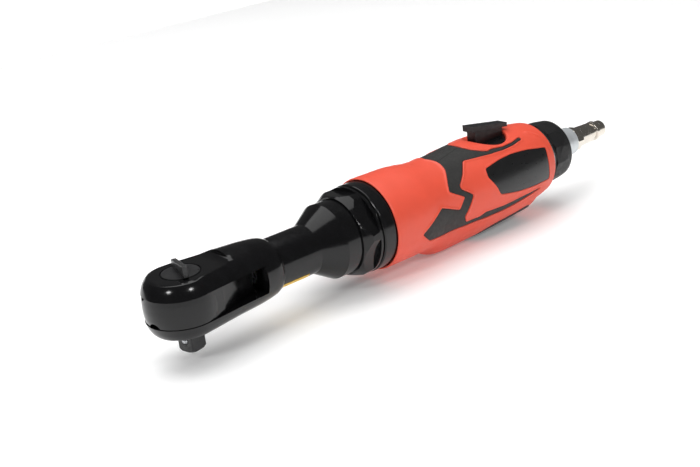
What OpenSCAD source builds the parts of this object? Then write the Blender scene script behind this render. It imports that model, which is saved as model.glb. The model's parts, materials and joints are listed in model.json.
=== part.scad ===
// Pneumatic ratchet wrench, 3/8 inch drive, as an assembly of its separate pieces.
// X runs along the tool from the head to the air plug, Z is up (trigger side),
// and the square drive points down. The origin is on the drive axis, at the
// drive's shoulder: the tool's long axis lies axis_h above it.

/* [Drive head] */
// Side of the square drive (3/8 inch)
drive_af = 9.525; // [6.35:0.005:12.7]
// Length of the square drive below its shoulder
drive_len = 11.3; // [8:0.1:16]
// Height of the tool's axis above the drive's shoulder, half of the head's height
axis_h = 14; // [12:0.5:18]
// Widest radius of the head in plan
head_r = 19.2; // [17:0.1:22]
// Radius of the flat face on top and bottom of the head
flat_r = 13.4; // [11:0.1:15]
// Offset of the head's front arc from the drive axis
head_cx = -1.8; // [-4:0.1:0]
// Height of the slot that the yoke swings in
slot_h = 14.1; // [10:0.1:16]
// Rear end of the yoke slot
slot_end = 37.6; // [34:0.1:42]
// Number of teeth inside the yoke
yoke_teeth = 36; // [24:1:60]
// Radius of the tips of the yoke's teeth
tooth_tip_r = 10.4; // [9.8:0.1:12]
// Depth of the yoke's teeth
tooth_depth = 0.8; // [0.4:0.1:1.2]

/* [Crank and gears] */
// Throw of the crank pin
crank_throw = 1.5; // [0.8:0.1:1.6]
// Radius of the bore in the yoke's arm that the crank bushing works in
yoke_bore_r = 5.75; // [5.5:0.05:5.9]
// Module of the planetary gears
gear_module = 0.75; // [0.75:0.05:0.8]
// Teeth on the sun gear and on each planet
sun_teeth = 12; // [12:6:12]

/* [Neck] */
// Radius of the neck
neck_r = 13; // [12:0.1:15]
// Radius of the flange that the clamp nut holds
flange_r = 20; // [19:0.1:21]
// Radius over the clamp nut's corners
nut_r = 23.6; // [23:0.1:26]
// Half of the clamp nut's width across its flats
nut_apothem = 21.3; // [21.2:0.1:22.5]

/* [Motor] */
// Radius of the rotor
rotor_r = 12.2; // [10:0.1:12.5]
// Radius of the cylinder's bore
cylinder_bore_r = 14.3; // [13.5:0.1:14.6]
// Number of vanes
vane_count = 5; // [3:1:6]

/* [Grip] */
// Radius of the aluminium motor housing under the grip
housing_r = 21.5; // [20.5:0.1:22]
// Radius of the metal collar in front of the grip
collar_r = 23.9; // [23.4:0.1:24]
// Lowest point of the grip's belly below the tool's axis
belly_depth = 31; // [28:0.5:34]
// Tilt of the released trigger
trigger_tilt = 9.7; // [8:0.1:12]

/* [Air inlet] */
// Radius of the inlet bushing
bushing_r = 8.4; // [7:0.1:9]
// Overall end of the air plug along X
plug_end = 309.5; // [300:0.5:320]
// Bore of the air plug
plug_bore_r = 2.5; // [2:0.1:3]
// Radius of the air plug's nose
plug_r = 5; // [4.9:0.05:5.2]

/* [Hidden] */

$fn = 64;
eps = 0.01;
black = "#1b1c1e";
steel = "#b9bcc0";
dark_steel = "#3a3c3f";
red = "#dd4a36";
rubber = "#3b3b39";

// drive head, all heights measured from the tool's axis
flat_h = axis_h;
anvil_r = 9.9;
anvil_bore_r = anvil_r + 0.05;
journal_r = 8.4;
journal_bore_r = journal_r + 0.05;
disc_r = 9.15;
disc_z = 12.8;
body_z = -6.3;
yoke_h = slot_h - 0.5;
drive_turn = 12;
knob_turn = 72.3;
stem_r = 3;
pocket_h = 8.6;
pawl_h = 8.2;
pawl_r = 9.6;
pawl_back = 4.3;
pawl_tilt = 5;
pawl_pin_x = 7;
pawl_pin_r = 1.2;
plunger_r = 1.1;
ball_r = 2;
ball_out = 0.9;
ball_z = -flat_h - 5.7;

// head and neck along X
shoulder_x = 20;
shoulder_r = 17.5;
neck_start = 50;
cone_start = 73.5;
cone_end = 85.5;
flange_x = 96.6;
head_end = 99.3;
web_x = 38.3;
front_bearing = [44, 56];
rear_bearing = [72, 80];
shaft_r = 6;
crank_pin_r = 2;
bushing_out_r = 3.4;

// planetary stage
ring_teeth = 3 * sun_teeth;
pitch_r = gear_module * sun_teeth / 2;
ring_pitch_r = 3 * pitch_r;
planet_orbit = 2 * pitch_r;
addendum = 0.55;
dedendum = 0.78;
carrier_x = [80.6, 84];
gear_x = [84.8, 93];
ring_gear_r = 16.5;

// motor
plate_r = 18.5;
nut_x = [94.3, 105.4];
spigot_r = flange_r + 0.45;
spigot_x = 99.6;
front_plate = [99.7, 105.5];
cylinder_x = [105.6, 153.4];
rear_plate = [153.5, 159.5];
motor_end = 160;
bore_shift = -1.9;
rotor_shaft_r = 4;
ball_race_r = 8;
vane_t = 2;
vane_root_r = 6.2;
dowel_z = 15.6;
dowel_r = 1;

// housing, trigger and valve
collar_x = [106.4, 117.5];
groove_r = 22.4;
housing_end = 240;
valve_x = 198;
valve_bore_r = 5;
stem_top = 19.7;
valve_stem_r = 1.8;
hinge_x = 222;
hinge_z = 19.5;
hinge_r = 1.5;
trigger_x = [194, 222.8];
trigger_top = 32.3;
trigger_w = 7;
trigger_body_w = 6.4;
trigger_well_x = 206.8;
trigger_well_r = 12.7;
pocket_x = [191, 229];

// rear end
silencer_x = [240.3, 244.3];
deflector_x = [246, 261.6];
deflector_r = 18.3;
clip_x = [260.2, 261];
bushing_end = 280;

// outer profile of the grip: radius at stations along X
grip_profile = [[114.5, 24.6], [115.3, 25.2], [120, 25.3], [128, 25.3], [141, 25.1], [150, 23.7], [160, 23.1],
    [172, 23.4], [186, 24.6], [200, 25.4], [214, 25.2], [226, 24.2], [236, 22.9], [242, 21.6], [244.5, 20.2]];

// moves everything from the tool's axis to the drive's shoulder
module placed() {
    translate([0, 0, axis_h])
        children();
}

// a round bar along X
module rod(x0, x1, r) {
    translate([x0, 0, 0])
        rotate([0, 90, 0])
            cylinder(h = x1 - x0, r = r);
}

// a round tube along X
module tube(x0, x1, ro, ri) {
    difference() {
        rod(x0, x1, ro);
        rod(x0 - 1, x1 + 1, ri);
    }
}

// turns a list of [x, radius] stations about the X axis
module turned(stations) {
    first = stations[0][0];
    last = stations[len(stations) - 1][0];
    outline = concat([[0, first]], [for (s = stations) [s[1], s[0]]], [[0, last]]);
    rotate([0, 90, 0])
        rotate_extrude()
            polygon(outline);
}

// a round washer or bush along Z
module bush(z0, z1, ro, ri) {
    difference() {
        translate([0, 0, z0])
            cylinder(h = z1 - z0, r = ro);
        translate([0, 0, z0 - 1])
            cylinder(h = z1 - z0 + 2, r = ri);
    }
}

// points of one wire coil, wound up the Z axis
function coil_ring(t, turns, r, wire, h, sides) =
    let (a = 360 * turns * t, z = wire + (h - 2 * wire) * t)
    [for (k = [0 : sides - 1])
        let (b = 360 * k / sides, q = r + wire * cos(b))
        [q * cos(a), q * sin(a), z + wire * sin(b)]];

module coil(r, wire, h, turns) {
    sides = 6;
    steps = 14 * turns;
    points = [for (i = [0 : steps]) each coil_ring(i / steps, turns, r, wire, h, sides)];
    walls = [for (i = [0 : steps - 1], k = [0 : sides - 1])
        let (n = (k + 1) % sides)
        [i * sides + k, i * sides + n, (i + 1) * sides + n, (i + 1) * sides + k]];
    start = [for (k = [sides - 1 : -1 : 0]) k];
    finish = [for (k = [0 : sides - 1]) steps * sides + k];
    polyhedron(points, concat([start], walls, [finish]));
}

// outline of a gear: tooth flanks run root, pitch circle, tip
function gear_points(teeth, root_r, mid_r, tip_r, root_w, mid_w, tip_w, phase) =
    let (pitch = 360 / teeth)
    [for (k = [0 : teeth - 1], s = [[root_r, -root_w], [mid_r, -mid_w], [tip_r, -tip_w],
            [tip_r, tip_w], [mid_r, mid_w], [root_r, root_w]])
        let (a = phase + pitch * (k + s[1] / 2))
        [s[0] * cos(a), s[0] * sin(a)]];

module outer_gear(phase) {
    polygon(gear_points(sun_teeth, pitch_r - dedendum, pitch_r, pitch_r + addendum, 0.54, 0.40, 0.16, phase));
}

module inner_gear() {
    polygon(gear_points(ring_teeth, ring_pitch_r + dedendum, ring_pitch_r, ring_pitch_r - addendum,
        0.58, 0.42, 0.22, 0));
}

// an outline in the plane across the tool, drawn out along X
module across(x0, x1) {
    translate([x0, 0, 0])
        rotate([90, 0, 90])
            linear_extrude(x1 - x0)
                children();
}

// an outline in the tool's side view, drawn out from y0 to y1
module side_cut(y0, y1) {
    translate([0, y1, 0])
        rotate([90, 0, 0])
            linear_extrude(y1 - y0)
                children();
}

// ---------- drive head ----------

// plan profile of the head's barrel-shaped front, from its flat round to its waist
function barrel_points(flat, wide, h) =
    concat([[0, h]], [for (t = [90 : -15 : -90]) [flat + (wide - flat) * cos(t), h * sin(t)]], [[0, -h]]);

module head_barrel(flat, wide, h) {
    translate([head_cx, 0, 0])
        rotate_extrude()
            polygon(barrel_points(flat, wide, h));
}

module head_flats() {
    scoop_r = 9;
    for (side = [0, 1])
        mirror([0, 0, side])
            difference() {
                translate([-30, -30, flat_h])
                    cube([shoulder_x + 27 + scoop_r, 60, 10]);
                translate([shoulder_x + scoop_r + 3, 0, flat_h])
                    cube([20, 70, 30], center = true);
                translate([shoulder_x - 3, -40, flat_h + scoop_r])
                    rotate([-90, 0, 0])
                        difference() {
                            translate([0, -scoop_r, 0])
                                cube([30, 2 * scoop_r, 80]);
                            cylinder(h = 80, r = scoop_r);
                        }
            }
}

module head_housing() color(black) placed() {
    difference() {
        union() {
            difference() {
                union() {
                    hull() {
                        head_barrel(flat_r, head_r, flat_h);
                        rod(shoulder_x, shoulder_x + 1, shoulder_r);
                    }
                    turned([[shoulder_x, shoulder_r], [36, 16.5], [43, 15.7], [46.5, 15], [48.8, 14],
                        [neck_start, neck_r], [cone_start, neck_r]]);
                }
                head_flats();
            }
            turned([[cone_start - 1, neck_r], [cone_start, neck_r], [cone_end, flange_r], [flange_x, flange_r]]);
            rod(flange_x + 0.05, head_end, flange_r + 0.3);
        }
        // yoke slot, open at the front and on both sides
        translate([-40, -30, -slot_h / 2])
            cube([40 + slot_end, 60, slot_h]);
        // anvil bores in the upper and lower ear, and the groove of the retaining ring
        cylinder(h = 30, r = anvil_bore_r);
        translate([0, 0, -30])
            cylinder(h = 30, r = journal_bore_r);
        bush(disc_z - 0.05, disc_z + 0.75, anvil_bore_r + 0.6, 1);
        // crank bores along the neck
        rod(slot_end - 1, front_bearing[0] + 1, 6.5);
        rod(front_bearing[0], front_bearing[1], 8.5);
        rod(front_bearing[1] - 1, rear_bearing[0] + 1, 7);
        rod(rear_bearing[0], rear_bearing[1] + 0.3, 10.5);
        rod(rear_bearing[1], carrier_x[1] + 0.3, 13.2);
        rod(carrier_x[1], head_end + 1, ring_gear_r + 0.05);
    }
}

module neck_label() color("#e8b93a") placed() {
    intersection() {
        tube(50.2, 66.8, neck_r + 0.15, neck_r);
        rotate([18, 0, 0])
            translate([50, -20, -14])
                cube([25, 20, 9]);
    }
}

module yoke_teeth_outline() {
    polygon([for (k = [0 : 2 * yoke_teeth - 1])
        let (a = 180 * k / yoke_teeth, q = tooth_tip_r + (k % 2) * tooth_depth)
        [q * cos(a), q * sin(a)]]);
}

module yoke() color(black) placed() {
    arm_end = 34.3;
    difference() {
        union() {
            intersection() {
                head_barrel(flat_r, head_r - 0.5, flat_h);
                cube([60, 60, yoke_h], center = true);
            }
            translate([0, 0, -yoke_h / 2])
                linear_extrude(yoke_h)
                    polygon([[4, 17.2], [12, 14.8], [25, 8.6], [arm_end, 7.6],
                        [arm_end, -7.6], [25, -8.6], [12, -14.8], [4, -17.2]]);
        }
        translate([0, 0, -yoke_h])
            linear_extrude(2 * yoke_h)
                yoke_teeth_outline();
        rod(20.5, arm_end + 1, yoke_bore_r);
        // reliefs at the nose, where the yoke meets the ears
        translate([head_cx - 17.2, -2.4, -yoke_h / 2 - 1.6])
            sphere(r = 4);
        translate([head_cx - 17.6, 5.6, yoke_h / 2 + 1.2])
            sphere(r = 3);
    }
}

module anvil() color(dark_steel) placed() rotate(drive_turn) {
    end_z = -flat_h - drive_len;
    top_z = 12.6;
    difference() {
        union() {
            translate([0, 0, body_z])
                cylinder(h = top_z - body_z, r = anvil_r);
            translate([0, 0, -flat_h])
                cylinder(h = flat_h, r = journal_r);
            intersection() {
                translate([-drive_af / 2, -drive_af / 2, end_z])
                    cube([drive_af, drive_af, drive_len + 5]);
                translate([0, 0, end_z])
                    cylinder(h = drive_len + 5, r = 6.35);
                translate([0, 0, end_z])
                    cylinder(h = drive_len + 5, r1 = 5.3, r2 = 5.3 + drive_len + 5);
            }
        }
        // pocket of the pawl, and the bore of the reversing stem
        translate([2, -anvil_r - 1, -pocket_h / 2])
            cube([anvil_r, 2 * anvil_r + 2, pocket_h]);
        translate([0, 0, -pocket_h / 2 - 0.4])
            cylinder(h = 30, r = stem_r + 0.05);
        translate([pawl_pin_x, 0, -5.9])
            cylinder(h = 11.8, r = pawl_pin_r);
        // blind hole of the retaining ball
        translate([0, 0, ball_z])
            rotate([0, -90, 0])
                translate([0, 0, -1.2])
                    cylinder(h = 10, r = ball_r + 0.05);
    }
}

module anvil_retaining_ring() color(black) placed() {
    difference() {
        bush(disc_z + 0.02, disc_z + 0.68, anvil_bore_r + 0.55, disc_r + 0.12);
        translate([-12, -1.4, disc_z - 1])
            cube([5, 2.8, 3]);
    }
}

module anvil_thrust_washer() color("#b08d3c") placed()
    bush(-slot_h / 2 + 0.03, body_z - 0.05, 9.8, journal_bore_r + 0.05);

module pawl() color(steel) placed() rotate(drive_turn)
    translate([pawl_pin_x, 0, 0])
        rotate(pawl_tilt)
            translate([-pawl_pin_x, 0, -pawl_h / 2]) {
                difference() {
                    cylinder(h = pawl_h, r = pawl_r);
                    translate([-20 + pawl_back, -15, -1])
                        cube([20, 30, pawl_h + 2]);
                    translate([pawl_pin_x, 0, -1])
                        cylinder(h = pawl_h + 2, r = pawl_pin_r + 0.05);
                    // saw teeth at both ends
                    for (side = [-1, 1], a = [38 : 10 : 58])
                        rotate(side * a)
                            translate([pawl_r + 0.35, 0, -1])
                                rotate(45)
                                    cube([1.1, 1.1, 30], center = true);
                }
            }

module pawl_pin() color(steel) placed() rotate(drive_turn)
    translate([pawl_pin_x, 0, -5.85])
        cylinder(h = 11.7, r = pawl_pin_r);

module reverse_knob() color(dark_steel) placed() rotate(knob_turn) {
    bar_l = 10.6;
    bar_w = 2.6;
    difference() {
        union() {
            translate([0, 0, disc_z - 0.1])
                cylinder(h = flat_h + 0.1 - disc_z + 0.1, r = disc_r);
            translate([0, 0, -pocket_h / 2])
                cylinder(h = disc_z + pocket_h / 2, r = stem_r);
            // thumb bar, higher towards its near end
            translate([0, bar_w / 2, 0])
                rotate([90, 0, 0])
                    linear_extrude(bar_w)
                        polygon([[-bar_l, flat_h + 0.35], [-bar_l, flat_h + 6.4], [bar_l, flat_h + 3.2],
                            [bar_l, flat_h + 0.35], [disc_r - 1, flat_h + 0.35], [disc_r - 1, flat_h],
                            [1 - disc_r, flat_h], [1 - disc_r, flat_h + 0.35]]);
        }
        // cross hole of the pawl plunger
        rotate(plunger_turn)
            translate([-1.8, 0, 0])
                rotate([0, 90, 0])
                    cylinder(h = 10, r = plunger_r + 0.05);
    }
}
// the plunger points at the pawl when the knob is half way through its turn
knob_range = 50;
plunger_turn = drive_turn - knob_turn - knob_range / 2;

module pawl_plunger() color(steel) placed() rotate(knob_turn + plunger_turn)
    translate([1, 0, 0])
        rotate([0, 90, 0]) {
            cylinder(h = 2.1, r = plunger_r);
            translate([0, 0, 2.1])
                sphere(r = plunger_r - 0.2);
        }

module plunger_spring() color(steel) placed() rotate(knob_turn + plunger_turn)
    translate([-1.75, 0, 0])
        rotate([0, 90, 0])
            coil(0.75, 0.15, 2.7, 5);

module retaining_ball() color(steel) placed() rotate(drive_turn)
    translate([-(drive_af / 2 - ball_r + ball_out), 0, ball_z])
        sphere(r = ball_r);

module ball_spring() color(steel) placed() rotate(drive_turn)
    translate([1.15, 0, ball_z])
        rotate([0, -90, 0])
            coil(1.2, 0.2, 1.6, 3);

// ---------- crank and planetary gears ----------

module crankshaft() color(steel) placed() {
    difference() {
        union() {
            translate([0, 0, crank_throw])
                rod(25, web_x + 1, crank_pin_r);
            rod(web_x, rear_bearing[1] + 0.7, shaft_r);
            rod(carrier_x[0], carrier_x[1], 12.6);
        }
        for (k = [0 : 2])
            rotate([120 * k, 0, 0])
                translate([0, planet_orbit, 0])
                    rod(carrier_x[0] - 1, carrier_x[1] + 1, 1.5);
        rod(carrier_x[1] - 1.2, carrier_x[1] + 1, 5.6);
    }
}

module drive_bushing() color("#b08d3c") placed()
    translate([0, 0, crank_throw])
        tube(25.2, 34.4, bushing_out_r, crank_pin_r + 0.03);

// a needle bearing: a drawn cup with loose rollers in it
module needle_bearing(x0, x1, ri, ro, count, roller_r) {
    mid = (ri + ro) / 2;
    lip = 1;
    play = 0.05;
    difference() {
        tube(x0, x1, ro, ri);
        tube(x0 + lip, x1 - lip, mid + roller_r + play, mid - roller_r - play);
    }
    for (k = [0 : count - 1])
        rotate([360 * k / count, 0, 0])
            translate([0, mid, 0])
                rod(x0 + lip + play, x1 - lip - play, roller_r);
}

module crank_front_bearing() color(steel) placed()
    needle_bearing(front_bearing[0] + 0.1, front_bearing[1] - 0.1, shaft_r + 0.03, 8.45, 12, 0.7);

module ball_bearing(x0, x1, ri, ro, count) {
    mid = (ri + ro) / 2;
    ball = 0.28 * (ro - ri);
    race = 0.2 * (ro - ri);
    width = x1 - x0;
    tube(x0, x1, ri + race, ri);
    tube(x0, x1, ro, ro - race);
    tube(x0 + 0.4 * width, x1 - 0.4 * width, ro - race / 2, ri + race / 2);
    for (k = [0 : count - 1])
        rotate([360 * k / count, 0, 0])
            translate([(x0 + x1) / 2, mid, 0])
                sphere(r = ball);
}

module crank_rear_bearing() color(steel) placed()
    ball_bearing(rear_bearing[0] + 0.1, rear_bearing[1] - 0.1, shaft_r + 0.03, 10.45, 9);

module planet_pins() color(steel) placed()
    for (k = [0 : 2])
        rotate([120 * k, 0, 0])
            translate([0, planet_orbit, 0])
                rod(carrier_x[0] + 0.2, gear_x[1], 1.5);

module planet(k) color(steel) placed()
    rotate([120 * k, 0, 0])
        translate([0, planet_orbit, 0])
            difference() {
                across(gear_x[0], gear_x[1])
                    outer_gear(180 / sun_teeth);
                rod(gear_x[0] - 1, gear_x[1] + 1, 1.54);
            }

module planet_1() planet(0);
module planet_2() planet(1);
module planet_3() planet(2);

module ring_gear() color(steel) placed()
    difference() {
        rod(carrier_x[1] + 0.4, gear_x[1] + 1, ring_gear_r);
        across(carrier_x[1] - 1, gear_x[1] + 3)
            inner_gear();
    }

module gear_spacer() color(steel) placed()
    tube(gear_x[1] + 1.1, head_end, ring_gear_r, 13);

module clamp_nut() color(black) placed() {
    rim = 1.6;
    difference() {
        intersection() {
            turned([[nut_x[0], 20.9], [nut_x[0] + 4.6, nut_r], [nut_x[1] - 0.3, nut_r], [nut_x[1], nut_r - 0.3]]);
            union() {
                across(nut_x[0] - 1, nut_x[1] - rim)
                    rotate(-6)
                        circle(r = nut_apothem / cos(30), $fn = 6);
                rod(nut_x[1] - rim - eps, nut_x[1] + 1, nut_r + 1);
            }
        }
        rod(nut_x[0] - 1, flange_x, flange_r + 0.1);
        rod(flange_x - eps, nut_x[1] + 1, spigot_r + 0.05);
    }
}

// ---------- housing and motor ----------

module motor_housing() color("#8d9094") placed() {
    difference() {
        union() {
            rod(spigot_x, collar_x[0] + 1, spigot_r);
            rod(nut_x[1] + 0.05, collar_x[0] + 1, groove_r);
            turned([[collar_x[0], collar_r - 0.6], [collar_x[0] + 0.6, collar_r], [collar_x[1], collar_r]]);
            rod(collar_x[1] - 1, housing_end, housing_r);
        }
        rod(spigot_x - 1, motor_end, plate_r + 0.05);
        // air way from the valve to the motor
        translate([0, 0, 8])
            rod(motor_end - 1, valve_x, 3);
        // valve chamber
        translate([valve_x, 0, -22])
            cylinder(h = 50, r = valve_bore_r);
        // air way from the inlet to the valve
        rod(valve_x, housing_end + 1, 3.5);
        rod(housing_end - 10, housing_end + 1, 7.55);
        // exhaust ways
        for (side = [-1, 1])
            translate([0, 13 * side, -6])
                rod(motor_end - 1, housing_end + 1, 3.2);
        // trigger pocket and the bore of its pin
        translate([pocket_x[0], -4.2, 15.6])
            cube([pocket_x[1] - pocket_x[0], 8.4, 20]);
        translate([hinge_x, 9, hinge_z])
            rotate([90, 0, 0])
                cylinder(h = 18, r = hinge_r);
    }
}

module dowel_hole(x0, x1)
    translate([0, 0, dowel_z])
        rod(x0, x1, dowel_r);

module end_plate(x0, x1, race_x0, race_x1) {
    difference() {
        rod(x0, x1, plate_r);
        rod(x0 - 1, x1 + 1, rotor_shaft_r + 0.4);
        rod(race_x0, race_x1, ball_race_r);
        dowel_hole(x0 - 1, x1 + 1);
    }
}

module front_end_plate() color("#9a9da1") placed()
    end_plate(front_plate[0], front_plate[1], front_plate[0] - 1, front_plate[1] - 1);

module rear_end_plate() color("#9a9da1") placed()
    difference() {
        end_plate(rear_plate[0], rear_plate[1], rear_plate[0] + 1, rear_plate[1] + 1);
        // inlet kidney
        translate([0, 0, 10])
            rod(rear_plate[0] - 1, rear_plate[1] + 1, 1.8);
    }

module rotor_front_bearing() color(steel) placed()
    ball_bearing(front_plate[0] + 0.1, front_plate[1] - 1.05, rotor_shaft_r + 0.03, ball_race_r - 0.03, 7);

module rotor_rear_bearing() color(steel) placed()
    ball_bearing(rear_plate[0] + 1.05, rear_plate[1] - 0.1, rotor_shaft_r + 0.03, ball_race_r - 0.03, 7);

module motor_cylinder() color("#a7aab0") placed()
    difference() {
        rod(cylinder_x[0], cylinder_x[1], plate_r);
        translate([0, 0, bore_shift])
            rod(cylinder_x[0] - 1, cylinder_x[1] + 1, cylinder_bore_r);
        dowel_hole(cylinder_x[0] - 1, cylinder_x[1] + 1);
        // exhaust ports
        for (x = [118 : 11 : 140])
            translate([x, 0, -12])
                rotate([180, 0, 0])
                    cylinder(h = 10, r = 2.2);
    }

module cylinder_dowel_pin() color(steel) placed()
    dowel_hole(front_plate[0] + 1, rear_plate[1] - 1);

module rotor() color(steel) placed() {
    difference() {
        union() {
            rod(cylinder_x[0] + 0.3, cylinder_x[1] - 0.3, rotor_r);
            rod(gear_x[1] - 0.1, rear_plate[1] - 0.2, rotor_shaft_r);
            rod(gear_x[1], front_plate[0] - 1, 5);
            across(gear_x[0], gear_x[1])
                outer_gear(0);
        }
        for (k = [0 : vane_count - 1])
            rotate([360 * k / vane_count, 0, 0])
                translate([cylinder_x[0], -vane_t / 2 - 0.04, vane_root_r - 0.1])
                    cube([cylinder_x[1] - cylinder_x[0], vane_t + 0.08, rotor_r]);
    }
}

module vane(k) color("#8a6a3a") placed()
    rotate([360 * k / vane_count, 0, 0])
        translate([cylinder_x[0] + 0.4, -vane_t / 2, vane_root_r])
            cube([cylinder_x[1] - cylinder_x[0] - 0.8, vane_t, rotor_r - vane_root_r - 0.12]);

module vane_1() vane(0);
module vane_2() vane(1);
module vane_3() vane(2);
module vane_4() vane(3);
module vane_5() vane(4);

// ---------- trigger and valve ----------

// heights of the trigger's top face along its length
function trigger_z(x) = trigger_top - (x - trigger_x[0]) * tan(trigger_tilt);

module trigger() color(black) placed() {
    front_t = 3.6;
    rear_t = 2.4;
    difference() {
        union() {
            side_cut(-trigger_w / 2, trigger_w / 2)
                polygon([[trigger_x[0], trigger_z(trigger_x[0])], [trigger_x[1], trigger_z(trigger_x[1])],
                    [trigger_x[1], trigger_z(trigger_x[1]) - rear_t],
                    [trigger_x[0], trigger_z(trigger_x[0]) - front_t]]);
            side_cut(-trigger_body_w / 2, trigger_body_w / 2)
                polygon([[196.8, trigger_z(196.8) - 1], [218.6, trigger_z(218.6) - 1], [218.6, 20.9],
                    [224, 20.9], [225.2, 18.5], [224, 16.6], [219, 16.6], [217.5, 20], [196.8, 20.2]]);
        }
        translate([hinge_x, 20, hinge_z])
            rotate([90, 0, 0])
                cylinder(h = 40, r = hinge_r + 0.04);
    }
}

module trigger_pin() color(steel) placed()
    translate([hinge_x, 8.8, hinge_z])
        rotate([90, 0, 0])
            cylinder(h = 17.6, r = hinge_r);

module valve_guide() color("#b08d3c") placed()
    translate([valve_x, 0, 0])
        difference() {
            bush(11.3, 15.4, valve_bore_r, valve_stem_r + 0.04);
            bush(12.6, 14.2, 3.2, 1);
        }

module valve_oring() color("#222222") placed()
    translate([valve_x, 0, 13.4])
        rotate_extrude()
            translate([2.5, 0])
                circle(r = 0.65);

module valve_stem() color(steel) placed()
    translate([valve_x, 0, 0]) {
        translate([0, 0, -0.6])
            cylinder(h = stem_top + 0.6 - 0.8, r = valve_stem_r);
        translate([0, 0, stem_top - valve_stem_r])
            sphere(r = valve_stem_r - 0.04);
        translate([0, 0, -2.6])
            cylinder(h = 2, r = 3.4);
    }

module valve_seat() color("#2a2a2a") placed()
    translate([valve_x, 0, 0])
        bush(-0.5, 2.3, valve_bore_r, 2.8);

module valve_spring() color(steel) placed()
    translate([valve_x, 0, -11.4])
        coil(2.8, 0.35, 8.7, 5);

module valve_cap() color(steel) placed()
    translate([valve_x, 0, 0])
        difference() {
            translate([0, 0, -19])
                cylinder(h = 7.5, r = valve_bore_r);
            translate([0, 0, -19.1])
                cylinder(h = 3, r = 2.5, $fn = 6);
        }

// ---------- grip ----------

module grip_skin(inset) {
    turned([for (s = grip_profile) [s[0], s[1] - inset]]);
}

module belly() {
    hull() {
        translate([166, 0, 16.5 - belly_depth])
            sphere(r = 16.5, $fn = 40);
        translate([152, 0, 14 - belly_depth])
            sphere(r = 8, $fn = 32);
        translate([214, 0, -9.5])
            sphere(r = 17, $fn = 40);
    }
}

// side-view outline of the rubber insert: a thunderbolt that runs from the top to the belly
module bolt_outline() {
    polygon([[131.6, -6.2], [138.2, -12.2], [150.5, -14.4], [168.4, -15.2], [196, -13.8], [227, -10],
        [225.5, -9.4], [195.4, -10.2], [181.5, -9.8], [177.4, -11.5], [167.9, -11.9], [165.9, -7.8], [172.2, 3.1],
        [164.9, 8.3], [164.7, 10.3], [169.6, 14.3], [175.8, 19.6], [184.1, 19.5], [204.2, 18.3], [222, 19.4],
        [221.2, 20.4], [205.4, 19.7], [197, 20.7], [190.2, 21.3], [184.4, 24], [184.1, 30], [160, 30],
        [162.8, 22.5], [162, 18.9], [159.6, 16], [155.9, 9.3], [165.8, 3.7], [161, -2.1], [147.2, 3.5]]);
}

module plate_outline() {
    polygon([[184.6, 9.4], [189, 2.9], [191.7, -2.6], [206.5, -5.1], [220.5, -6.4], [235, -7], [234.4, 0],
        [235.4, 11.6], [219.2, 14.7], [207, 15.6], [196, 15], [185.2, 13.4]]);
}

insert_depth = 1.2;
plate_depth = 0.5;

// everything outside the skin at a depth, within a side-view outline, on one side
module seat(side, depth) {
    difference() {
        side_cut(side > 0 ? 4 : -40, side > 0 ? 40 : -4)
            children();
        grip_skin(depth);
    }
}

module inlay(side, depth) {
    intersection() {
        seat(side, depth)
            children();
        grip_skin(0.05);
    }
}

module pad_region() {
    side_cut(-20, 20)
        polygon([[182, -28.6], [238, -22.8], [238, -40], [182, -40]]);
}

module grip_shell() color(red) placed()
    difference() {
        union() {
            grip_skin(0);
            belly();
        }
        rod(100, 260, housing_r + 0.05);
        rod(100, collar_x[1] + 0.4, collar_r + 0.2);
        // round well of the trigger, and the seats of its pin's ends
        translate([trigger_well_x, 0, 10])
            cylinder(h = 30, r = trigger_well_r);
        translate([hinge_x, 9.2, hinge_z])
            rotate([90, 0, 0])
                cylinder(h = 18.4, r = hinge_r + 0.1);
        // seats of the rubber inserts, the name plates and the belly pad
        for (side = [-1, 1]) {
            seat(side, insert_depth)
                bolt_outline();
            seat(side, plate_depth)
                plate_outline();
        }
        pad_region();
    }

module grip_insert_left() color(rubber) placed()
    inlay(1, insert_depth)
        bolt_outline();

module grip_insert_right() color(rubber) placed()
    inlay(-1, insert_depth)
        bolt_outline();

module nameplate_left() color(black) placed()
    inlay(1, plate_depth)
        plate_outline();

module nameplate_right() color(black) placed()
    inlay(-1, plate_depth)
        plate_outline();

module belly_pad() color(rubber) placed()
    intersection() {
        belly();
        pad_region();
    }

// ---------- air inlet and exhaust ----------

module exhaust_silencer() color("#a8925a") placed()
    tube(silencer_x[0], silencer_x[1], 19, bushing_r + 0.05);

module deflector_ring() color(steel) placed()
    tube(silencer_x[1] + 0.1, deflector_x[0] - 0.1, 18, 15.5);

module exhaust_deflector() color(black) placed() {
    sides = 12;
    difference() {
        union() {
            rod(deflector_x[0], deflector_x[0] + 2, deflector_r - 0.8);
            intersection() {
                across(deflector_x[0] + 2, deflector_x[1])
                    rotate(8)
                        circle(r = deflector_r, $fn = sides);
                turned([[deflector_x[0] + 2, deflector_r], [deflector_x[0] + 8, deflector_r],
                    [deflector_x[1], deflector_r - 1.1]]);
            }
        }
        rod(deflector_x[0] - 1, deflector_x[1] - 6, 15);
        rod(deflector_x[0], deflector_x[1] + 1, bushing_r + 0.05);
        rod(clip_x[0] - 0.2, deflector_x[1] + 1, 10.6);
        // exhaust ports, all on one side so that turning the ring aims the air
        for (a = [-40 : 20 : 40])
            rotate([a, 0, 0])
                translate([0, 0, -13])
                    rod(deflector_x[0] + 2, deflector_x[1] + 1, 1.3);
    }
}

module deflector_clip() color(steel) placed()
    difference() {
        tube(clip_x[0], clip_x[1], 9.8, bushing_r - 0.6);
        translate([clip_x[0] - 1, -2, 6])
            cube([3, 4, 6]);
    }

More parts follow.
